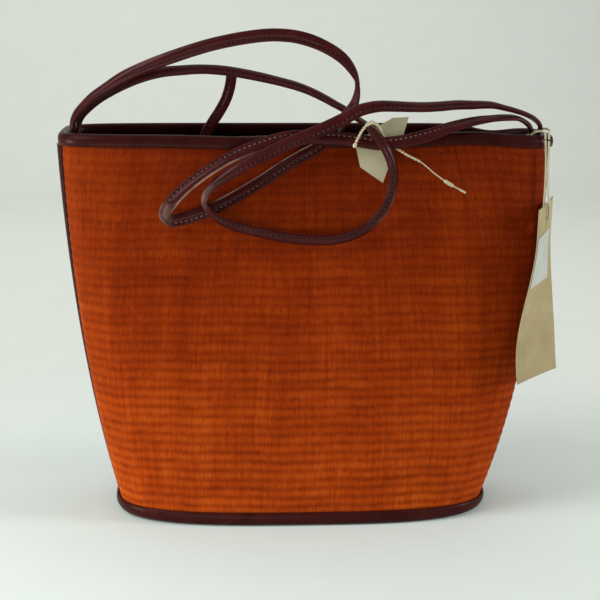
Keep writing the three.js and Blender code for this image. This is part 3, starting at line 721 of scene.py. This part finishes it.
def side_strip(name, nodes, span, stand):
    """A leather strip over a side seam, between two directions, each at the foot and at the mouth.

    It stands off the straw by the two numbers of stand, at the foot and at the mouth, and falls to
    the straw at its edges.
    """
    share = np.linspace(-1, 1, 31)
    heights = np.linspace(9.1, 251.4, 110)[:, None]
    up = heights / HEIGHT
    first, last = (low + (high - low) * up**2 for low, high in span)
    angle = first + (last - first) * (share + 1) / 2
    dome = CLEAR + 0.3 + (stand[0] + (stand[1] - stand[0]) * up) * (1 - np.abs(share) ** 5)
    over, under = wall(angle, heights, dome), wall(angle, heights, CLEAR)
    sheet_piece(name, over, under, leather, "shell", nodes)


def round_plate(name, heights, offset, material, nodes, dome=0.0):
    """A flat plate that fills the base outline: rings of the outline drawn in to the middle."""
    shares = np.sqrt(np.linspace(0.0004, 1, 14))[:, None]
    x, y, _ = np.moveaxis(wall(directions(160), heights[0], offset), -1, 0)
    x = x.mean() + (x - x.mean()) * shares
    y = y * shares
    low = np.stack([x, y, heights[0] + 0 * x], -1)
    high = np.stack([x, y, heights[1] + dome * (1 - shares**2) + 0 * x], -1)
    return tube_piece(name, np.concatenate([low, high[::-1]]), material, "shell", nodes)


straw_wall("straw_front", FRONT, ["front_panel"], 0.0)
straw_wall("straw_back", BACK, ["back_panel"], 311.0)
edge_ring("rim_edge", RIM_PROFILE, 44, ["rim_binding"], rim_leather_shaded_inside)
edge_ring("base_edge", BASE_PROFILE, 40, ["base_binding"], base_leather)
side_strip("strip_left", ["side_strip_left"], ((3.087, 3.087), (3.196, 3.286)), (0.7, 3.0))
side_strip("strip_right", ["side_strip_right"], ((-0.055, -0.055), (0.055, 0.055)), (0.9, 1.5))
lining_wall("lining_cloth_front", FRONT, ["lining_front"])
lining_wall("lining_cloth_back", BACK, ["lining_back"])
floor_cloth = round_plate(
    "lining_floor", (4.5, 5.3), -2.5, lining_cloth, ["lining_base"], 0.4
)
round_plate("underside_leather", (0.0, 1.55), -8.5, leather, ["base_panel"])
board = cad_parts["base_board"]
board.data.materials.clear()
board.data.materials.append(board_card)


# Straps

HIGH_ROUTE = [
    [-156.4, -8, 225, -1, 0, 0], [-156.4, -8, 240, -1, 0, 0], [-155.6, -8, 251, -1, 0, 0],
    [-155.5, -8, 257, -1, -0.1, 0], [-155.6, -8.5, 264, -0.95, -0.3, 0.1],
    [-153.2, -9, 270, -0.85, -0.45, 0.3], [-148.3, -10, 276, -0.7, -0.5, 0.5],
    [-142.1, -12, 282, -0.55, -0.55, 0.6], [-133.3, -13.5, 288, -0.4, -0.65, 0.65],
    [-123, -15, 294.6, -0.25, -0.8, 0.55], [-109.5, -17, 301, -0.1, -0.9, 0.4],
    [-90.2, -20, 308.3, 0, -1, 0.2], [-61.7, -24, 317.3, 0, -1, 0.1],
    [-33.4, -28, 322.7, 0, -1, 0.1], [-19.4, -30, 323.5, 0, -1, 0.1],
    [-5.6, -32, 322, 0, -1, 0.1], [8.6, -34, 317.3, 0.2, -0.9, 0.3],
    [21.6, -36, 309.4, 0.45, -0.8, 0.3], [28, -38, 301.8, 0.75, -0.6, 0.2],
    [31.2, -40, 294, 1, -0.2, 0], [30.7, -42.5, 285.7, 0.95, 0.3, 0],
    [28.3, -45, 279.4, 0.8, 0.6, 0], [24.2, -48, 273.2, 0.5, 0.85, 0],
    [18.2, -51, 265.7, 0.3, 0.95, -0.2], [11.7, -52, 258.7, 0.2, 0.95, -0.2],
    [4, -52, 252.2, 0.2, 0.95, -0.3], [-6.3, -51.5, 246.4, 0.2, 0.9, -0.4],
    [-17.9, -51.5, 239.6, 0.2, 0.9, -0.4], [-29, -52, 232.2, 0.2, 0.9, -0.4],
    [-43.9, -53, 223.3, 0.2, 0.9, -0.3], [-58.1, -54, 215.6, 0.1, 1, -0.2],
    [-71.1, -54.5, 210, 0, 1, -0.1], [-82.1, -55, 206.8, -0.1, 1, -0.1],
    [-89.8, -55.8, 206, -0.2, 0.95, -0.3], [-93.4, -59, 210.5, 0.1, 0.95, -0.1],
    [-90.2, -62.2, 217.4, 0.3, 0.9, -0.1], [-82.5, -62, 225.7, 0.4, 0.85, -0.3],
    [-72.2, -61, 234, 0.3, 0.8, -0.5], [-61.3, -60, 241.3, 0.3, 0.8, -0.5],
    [-51, -59.3, 247.1, 0.3, 0.8, -0.5], [-40.7, -58.5, 251.7, 0.2, 0.85, -0.4],
    [-29.2, -57.5, 255.8, 0.1, 0.9, -0.3], [-17.6, -57, 258.9, 0, 1, -0.2],
    [-6.7, -57, 260.2, 0, 1, -0.2], [7.5, -57, 259.3, 0, 1, -0.2], [19.1, -57, 258.9, 0, 1, -0.2],
    [32, -57, 257.3, 0, 1, -0.2], [45, -56.5, 255.5, 0, 1, -0.2],
    [60, -55.3, 256.8, 0, 0.95, -0.3], [69.9, -54, 258.8, 0, 0.95, -0.4],
    [80.3, -52, 261.5, 0, 0.85, -0.55], [90.7, -49, 264.8, 0, 0.7, -0.7],
    [101.1, -45, 267.3, 0, 0.55, -0.85], [112.4, -41, 269.2, 0, 0.4, -0.9],
    [121.8, -37, 270, 0, 0.25, -1], [130.5, -33, 270.2, -0.1, 0.2, -1],
    [139.4, -28.5, 269.4, -0.3, 0.1, -1], [146.1, -25, 265.9, -0.62, 0.15, -0.75],
    [149.6, -23, 262, -0.9, 0.22, -0.35], [150.4, -21.5, 257, -1, 0.25, -0.05],
    [150.2, -20, 251, -1, 0.25, 0], [150.3, -19, 240, -1, 0.2, 0], [150.3, -19, 225, -1, 0.2, 0],
]
LOW_ROUTE = [
    [153.9, -19, 225, 1, -0.2, 0], [153.9, -19, 240, 1, -0.2, 0], [153.8, -20, 251, 1, -0.25, 0],
    [154.1, -21.5, 257, 1, -0.25, 0.05], [156, -23, 263, 0.95, -0.2, 0.3],
    [152.6, -25, 267.6, 0.72, -0.15, 0.65], [145.7, -27.5, 271.6, 0.5, -0.1, 0.85],
    [137.2, -29.5, 274.6, 0.25, -0.15, 1], [130, -30.5, 276.5, 0.05, -0.2, 1],
    [122.5, -31.5, 278.3, 0, -0.3, 0.95], [114.5, -32.5, 278.8, 0, -0.4, 0.9],
    [106.6, -35, 278.9, 0, -0.5, 0.85], [96.7, -37, 279, 0, -0.55, 0.8],
    [86.3, -41, 278.5, 0, -0.6, 0.8], [75.9, -45, 278.3, 0, -0.6, 0.75],
    [64.9, -49, 278.7, 0, -0.65, 0.75], [54.8, -52, 279.3, 0, -0.7, 0.7],
    [44.8, -55, 279.6, 0, -0.75, 0.65], [36.6, -57, 278.5, -0.1, -0.8, 0.6],
    [30.3, -58.5, 276.7, -0.15, -0.85, 0.5], [21.9, -60.5, 272.3, -0.2, -0.9, 0.4],
    [13.5, -61.5, 268.3, -0.2, -0.9, 0.35], [3.2, -62.3, 263.6, -0.2, -0.95, 0.3],
    [-7, -62.5, 259.2, -0.2, -0.95, 0.25], [-17.8, -62.5, 254.7, -0.2, -0.95, 0.25],
    [-29.3, -63.4, 249.3, -0.2, -0.95, 0.25], [-40.2, -64.1, 243.9, -0.25, -0.9, 0.3],
    [-48.5, -64.7, 239.4, -0.35, -0.85, 0.4], [-56.8, -64.5, 234.3, -0.55, -0.7, 0.5],
    [-63.3, -64, 229.1, -0.8, -0.45, 0.4], [-67.8, -63.3, 223.3, -0.95, -0.25, 0.2],
    [-68.4, -62.5, 217.4, -1, -0.15, -0.1], [-64, -62, 211.5, -0.8, -0.4, -0.55],
    [-56.9, -60.5, 206.1, -0.45, -0.65, -0.65], [-45.3, -58.8, 201.3, -0.2, -0.8, -0.6],
    [-31.1, -57.8, 197.6, -0.1, -0.8, -0.6], [-16.2, -57.3, 194.5, 0, -0.8, -0.6],
    [0.1, -57.3, 192.8, 0, -0.8, -0.6], [16.4, -57.5, 193, 0.2, -0.8, -0.55],
    [31.9, -58, 197.9, 0.4, -0.75, -0.45], [41.7, -58, 204.8, 0.55, -0.7, -0.35],
    [49.6, -58.5, 214.9, 0.7, -0.7, -0.2], [53.3, -59.5, 226.5, 0.75, -0.65, 0],
    [53.7, -60.5, 236.3, 0.75, -0.65, 0.1], [51.8, -61.5, 245.7, 0.7, -0.7, 0.15],
    [48.3, -62.9, 253.1, 0.65, -0.7, 0.25], [44.4, -62.3, 258.5, 0.6, -0.65, 0.4],
    [40.7, -59.5, 263.3, 0.55, -0.55, 0.6], [37, -54, 267, 0.5, -0.4, 0.75],
    [33.4, -48, 269.3, 0.5, -0.3, 0.8], [28.9, -41.8, 272, 0.45, -0.3, 0.85],
    [23.7, -38, 275.9, 0.4, -0.3, 0.85], [17.3, -36, 279.3, 0.4, -0.35, 0.85],
    [10.9, -34, 282.8, 0.35, -0.4, 0.85], [1.2, -31, 287.4, 0.3, -0.45, 0.85],
    [-8.5, -28, 290.8, 0.2, -0.5, 0.85], [-18.2, -26, 293.3, 0.15, -0.5, 0.85],
    [-31.3, -23.5, 296.2, 0.1, -0.55, 0.8], [-43.7, -21.5, 298.5, 0.1, -0.6, 0.8],
    [-56.8, -19.5, 300.3, 0, -0.6, 0.8], [-70.6, -17.5, 300.8, 0, -0.6, 0.8],
    [-83.8, -15, 299.9, 0, -0.65, 0.75], [-96.4, -12.5, 298.5, 0, -0.7, 0.7],
    [-109.8, -10, 295, -0.1, -0.75, 0.65], [-123.6, -7, 288.9, -0.3, -0.65, 0.7],
    [-137.4, -4.5, 280.7, -0.6, -0.5, 0.6], [-143.8, -4, 275.5, -0.7, -0.45, 0.5],
    [-149, -4.5, 270, -0.85, -0.4, 0.3], [-151.5, -6, 264.3, -0.95, -0.3, 0.1],
    [-151.4, -7.5, 257, -1, -0.1, 0], [-151.6, -8, 251, -1, 0, 0], [-153, -8, 240, -1, 0, 0],
    [-153, -8, 225, -1, 0, 0],
]
TAB_ROUTE = [
    [-79, 39.6, 228, 0.3, -1, 0], [-75, 38.6, 236, 0.35, -1, 0],
    [-71, 36.8, 244.5, 0.4, -0.9, 0.1], [-67, 35.7, 253.4, 0.4, -0.9, 0.1],
    [-62.9, 36.3, 260.3, 0.35, -0.9, 0.2], [-57.4, 39.6, 268.4, 0.2, -0.95, 0.25],
    [-53, 42, 276.4, 0.1, -0.95, 0.25], [-50.2, 43.8, 285, 0.05, -1, 0.2],
    [-48.6, 44.8, 295, 0, -1, 0.1],
]
# The lengths of the sewn-down ends, and the cut that parts them from the rest.
ROOT = 36.25
TAB_ROOT = 14.25
CUT = 0.1
# Width and thickness, and the stitches' groove: how far in from the edge and how high it lies.
STRAP_SIZE = (8.5, 3.0)
TAB_SIZE = (7.6, 2.2)
GROOVE_IN, GROOVE_FLOOR = 2.5, 0.72


def strap_frames(route, first, last, pitch):
    """Distances along a flat strap, its centres, and its directions along, across and out.

    Across is the cross product of the direction along and the way that the face looks.
    """
    route = np.asarray(route, float)
    far, at, centre, along = even_steps(route[:, :3], first, last, pitch)
    across = unit(np.cross(along, curve(route[:, 3:], at)))
    return far, centre, along, across, np.cross(across, along)


def strap_section(width):
    """Round a folded strap's section from its stitched edge: a thin welt, the sunk row of stitches
    and the thicker fold."""
    w = width / 2
    half = [
        (w - 0.5, 0), (w - 0.1, 0.35), (w, 0.7), (w - 0.15, 1.0), (w - 0.6, 1.25), (w - 1.1, 1.3),
        (w - 1.6, 1.15), (w - 2.0, 0.85), (w - GROOVE_IN, GROOVE_FLOOR), (w - 3.0, 0.9),
        (w - 3.4, 1.25), (w - 4.0, 1.52), (w - 5.0, 1.62), (1.35 - w, 1.36), (0.6 - w, 0.92),
        (0.15 - w, 0.45), (-w, 0),
    ]
    other = [(x, -y) for x, y in half[-2:0:-1]]
    return np.array(half + other)


def strap_piece(name, route, size, first, last, side, body, nodes, material):
    """A stretch of a folded leather strap, whose stitches lie to one side."""
    far, centre, _, across, out = strap_frames(route, first, last, 1.0)
    section = strap_section(size[0]) * [side, size[1] / STRAP_SIZE[1]]
    loops = centre[:, None] + across[:, None] * section[:, :1] + out[:, None] * section[:, 1:]
    round_it = np.append(section[:, 0], section[0, 0]) * side
    tube_piece(name, loops, material, body, nodes, along=far, round_it=round_it)


def stitches(name, route, size, first, last, side, body, material):
    """A row of stitches in the groove of each face: small capsules whose ends dip into it."""
    half_length, half_width, lift, dip, end_gap = 1.1, 0.34, 0.14, 0.25, 1.3
    far, *frames = strap_frames(route, first, last, 0.4)
    marks = np.arange(math.ceil(far[0] / STITCH), math.floor(far[-1] / STITCH) + 1) * STITCH
    marks = marks[(marks > far[0] + end_gap) & (marks < far[-1] - end_gap)]
    centre, along, across, out = (
        np.stack([np.interp(marks, far, values[:, k]) for k in range(3)], -1)[:, None, None]
        for values in frames
    )
    rows, columns = 7, 8
    share = np.linspace(-1.0, 1.0, rows)[:, None, None]
    radius = half_width * np.sqrt(1 - 0.97 * np.abs(share) ** 3)
    turn = (np.arange(columns) * math.tau / columns)[:, None]
    ring = radius * (across * np.cos(turn) + out * np.sin(turn))
    groove = across * side * (size[0] / 2 - GROOVE_IN)
    height = GROOVE_FLOOR * size[1] / STRAP_SIZE[1] + lift - dip * share**2
    points = np.concatenate([
        centre + groove + along * half_length * share + ring + out * face * height
        for face in (-1, 1)
    ])
    faces, places = grid(points[0], close_columns=True)
    shift = (np.arange(len(points)) * rows * columns)[:, None]
    low = np.arange(columns)[::-1] + shift
    high = np.arange(columns) + (rows - 1) * columns + shift
    faces = (faces + shift[:, None]).reshape(-1, 4)
    places = np.tile(places, (len(points), 1, 1))
    write(name, points, faces, places, material, body, ends=[*low, *high])


def stitched_piece(node_name, route, size, span, side, body, hide, thread):
    """A stretch of a strap with its stitches on both faces."""
    strap_piece(f"leather_{node_name}", route, size, *span, side, body, [node_name], hide)
    name = f"stitches_{node_name.removeprefix('strap_')}"
    stitches(name, route, size, *span, side, body, thread)


def straps():
    """Two straps between the feet at the corners of the mouth; the feet stay with the bag."""
    for name, route, side, ends, hide, thread in (
        ("strap_high", HIGH_ROUTE, 1, ("left", "right"), high_leather, pale_thread),
        ("strap_low", LOW_ROUTE, -1, ("right", "left"), low_leather, dark_thread),
    ):
        for node_name, span, body in (
            (name, (ROOT + CUT, -ROOT - CUT), "straps"),
            (f"{name}_root_{ends[0]}", (0, ROOT), "shell"),
            (f"{name}_root_{ends[1]}", (-ROOT, 0), "shell"),
        ):
            stitched_piece(node_name, route, STRAP_SIZE, span, side, body, hide, thread)


def closure():
    """The stitched tab that rises out of the mouth."""
    for node_name, span, body in (
        ("closure_tab_root", (0, TAB_ROOT), "shell"),
        ("closure_tab", (TAB_ROOT + CUT, -2.5), "tab"),
    ):
        stitched_piece(
            node_name, TAB_ROUTE, TAB_SIZE, span, -1, body, tab_leather, dark_thread
        )


# Tags

CARD_WIDTH, CARD_LENGTH = 43.0, 117.0
CARD_TOP, CARD_FOOT = np.array([158.2, -42, 214.5]), np.array([154.1, -46, 97.5])
CARD_SLIT = (21.5, 12.4, 1.5, 4.6)


def on_card(u, v, out):
    """A point of the hanging card: u across from its near edge, v down from its top, out from its
    middle plane. It turns from 66.5 to 42 degrees on its way down and its lower half sways in."""
    share = v / CARD_LENGTH
    turn = np.radians(66.5 - 24.5 * ease(v, 20, 105))
    half = CARD_WIDTH / 2
    along = u - half
    curl = out + 1.2 * np.abs(along / half) ** 3 * (1.2 * share - 0.5)
    x, y, z = np.moveaxis(CARD_TOP + (CARD_FOOT - CARD_TOP) * share[..., None], -1, 0)
    x = x - 2.3 * np.sin(math.pi * share**2) + np.cos(turn) * along + np.sin(turn) * curl
    y = y + np.sin(turn) * along - np.cos(turn) * curl
    return np.stack([x, y, z + 2 * along / half], -1)


def card_sheet(name, across, down, depths, material, node_name, hole=None):
    """A thin sheet on the card between two depths, on a grid of places across it and down it.

    A hole is the middle and the half sizes of an oval.
    """
    u, v = np.meshgrid(across, down)
    keep = None
    if hole:
        x, y, half_width, half_height = hole
        middle_u, middle_v = (u[:-1, :-1] + u[1:, 1:]) / 2, (v[:-1, :-1] + v[1:, 1:]) / 2
        keep = ((middle_u - x) / half_width) ** 2 + ((middle_v - y) / half_height) ** 2 > 1
    inner, outer = (on_card(u, v, depth) for depth in depths)
    sheet_piece(name, outer, inner, material, "tag", [node_name], u, v, keep)


def hang_tag():
    """The cream card with its slit, and its bare sticker."""
    card_sheet(
        "tag_paper", np.linspace(0, CARD_WIDTH, 73), np.linspace(0, CARD_LENGTH, 160),
        (-0.3, 0.3), card_paper, "tag_card", CARD_SLIT,
    )
    card_sheet(
        "tag_label_blank", np.linspace(1, 34, 30), np.linspace(19, 52.5, 30), (0.45, 0.7),
        sticker_paper, "tag_sticker",
    )


# The label's two edges from end to end: x and z of the one, x and z of the other.
LABEL_EDGES = [
    [32.8, 239.8, 47.8, 229.5], [31.6, 245.5, 50.2, 236.6], [30.6, 249.8, 52.0, 242.0],
    [30.2, 252.7, 51.6, 246.3], [33.5, 256.5, 50.0, 252.0], [37.0, 260.0, 55.0, 255.5],
    [41.0, 263.0, 60.0, 259.2], [45.5, 266.0, 62.5, 264.5], [54.5, 271.0, 65.0, 271.5],
]


def paper_label():
    """The folded paper label behind the straps, as a strip between its two edges."""
    edges = curve(LABEL_EDGES, np.linspace(0, len(LABEL_EDGES) - 1, 60))
    share = np.linspace(0, 1, 24)
    x, z = (edges[:, k, None] + (edges[:, k + 2] - edges[:, k])[:, None] * share for k in (0, 1))
    y = -52.0 + 0.6 * np.maximum(0, z - 256) - 0.5 * np.sin(math.pi * share)
    outer, inner = np.stack([x, y, z], -1), np.stack([x, y + 0.4, z], -1)
    sheet_piece("folded_label", outer, inner, label_paper, "straps", ["strap_label"])


TIE_ROUTE = [
    [27.3, -66.6, 254], [28.8, -66.4, 258], [31.8, -65.9, 263.7], [34.8, -64.4, 267.5],
    [38.3, -61.6, 269.5], [41.8, -57.8, 268.4], [44.8, -54.6, 264.8], [47.4, -53.2, 260.6],
    [50, -52.7, 257], [53.4, -52.6, 253.8], [57.4, -53, 251.3], [63.5, -54.4, 247.6],
    [71.7, -55.5, 243.5], [80, -55.5, 236.8], [88, -55.5, 231], [96, -55.3, 226.4],
    [101.7, -55, 223.3],
]
# Its radius at places counted in the route's points.
TIE_RADII = [
    (0, 0.5), (0.1, 1.1), (0.35, 1.4), (0.6, 1.1), (0.75, 0.7), (3.0, 0.7), (3.3, 1.25),
    (6.2, 1.25), (6.8, 0.6), (11.9, 0.6), (12.1, 0.45), (13.9, 0.45), (14.0, 1.2), (14.6, 1.2),
    (14.7, 0.5), (15.2, 0.5), (15.4, 0.8), (16, 0.7),
]


def beaded_tie():
    """The nylon tie: a bulb, small beads, a band, larger beads, a thin shaft and its head."""
    far, at, centre, along = even_steps(TIE_ROUTE, count=900)
    radius = np.interp(at, *np.transpose(TIE_RADII))
    for first, last, swell, pitch in ((0.75, 3.0, 0.55, 1.9), (9.6, 11.9, 0.5, 2.4)):
        beads = 0.4 + swell * np.abs(np.sin(math.pi * far / pitch))
        radius = np.where((at > first) & (at < last), beads, radius)
    loops = around(centre, along, radius[:, None], 14)
    tube_piece("nylon_tie", loops, nylon, "straps", ["beaded_tie"])


straps()
closure()
hang_tag()
paper_label()
beaded_tie()


# Floor and light


def studio_paper():
    """Seamless pale paper, with the faintest fibre, and painted light round the middle: a slightly
    lighter, bluer tint that offsets the bag's shadow and warm bounce on the floor.
    """
    material, tree, shader = new_material("studio paper", Roughness=0.9)
    place = object_mm(tree)
    fibre = noise(tree, place, 0.02, 3)
    away = node(tree, "ShaderNodeVectorMath", {0: place}, operation="LENGTH").outputs["Value"]
    # Painted light on the floor round the bag, offsetting its shadow and warm bounce.
    painted_light_round_bag = (0.96, 1.05, 1.06)
    colour = blend(tree, fibre, (0.79, 0.824, 0.766), (0.83, 0.864, 0.806))
    colour = blend(tree, spread(tree, away, 450, 150), colour, painted_light_round_bag, "MULTIPLY")
    tree.links.new(colour, shader.inputs["Base Color"])
    return material


def backdrop():
    """A floor that sweeps up behind the bag in one curve."""
    turn = np.linspace(0, math.pi / 2, 24)
    radius, back, front, side, top, floor = 900.0, 1500.0, -2600, 3600, 3600, -0.4
    y = np.concatenate([[front], back + radius * np.sin(turn), [back + radius]])
    z = np.concatenate([[floor], floor + radius * (1 - np.cos(turn)), [top]])
    points = np.stack([np.stack([x + 0 * y, y, z], -1) for x in (-side, side)], 1)
    faces, _ = grid(points)
    mesh = bpy.data.meshes.new("backdrop")
    mesh.from_pydata((points.reshape(-1, 3) * MM).tolist(), [], faces.tolist())
    mesh.polygons.foreach_set("use_smooth", np.ones(len(faces), bool))
    mesh.materials.append(studio_paper())
    placed("backdrop", mesh)


def lamp(name, place, aim, size, power):
    """A soft rectangular lamp that looks at a point and that the camera doesn't see."""
    data = bpy.data.lights.new(name, "AREA")
    data.shape = "RECTANGLE"
    data.size, data.size_y = size[0] * MM, size[1] * MM
    data.energy = power
    made = placed(name, data)
    place, aim = Vector(place) * MM, Vector(aim) * MM
    made.location = place
    made.visible_camera = False
    made.rotation_euler = (aim - place).to_track_quat("-Z", "Y").to_euler()


# Even white light from all round.
scene.world = bpy.data.worlds.new("studio")
scene.world.use_nodes = True
light = scene.world.node_tree.nodes["Background"].inputs
light["Color"].default_value = (1.0, 1.0, 0.985, 1)
light["Strength"].default_value = 0.26

backdrop()
lamp("left lamp", (-1100, -300, 170), (-100, -40, 100), (400, 290), 6.0)
lamp("high left lamp", (-800, -450, 900), (-150, -100, 0), (600, 600), 6.3)
lamp("right lamp", (1150, -260, 470), (100, -50, 150), (350, 450), 7.3)
lamp("low front lamp", (-200, -560, 130), (0, -60, 50), (500, 120), 0.65)
lamp("overhead", (0, 300, 1300), (0, 0, 200), (1500, 900), 2.5)
lamp("backdrop lamp", (-300, 700, 1500), (-200, 2300, 750), (2000, 600), 16.4)
scene.view_settings.view_transform = "Standard"
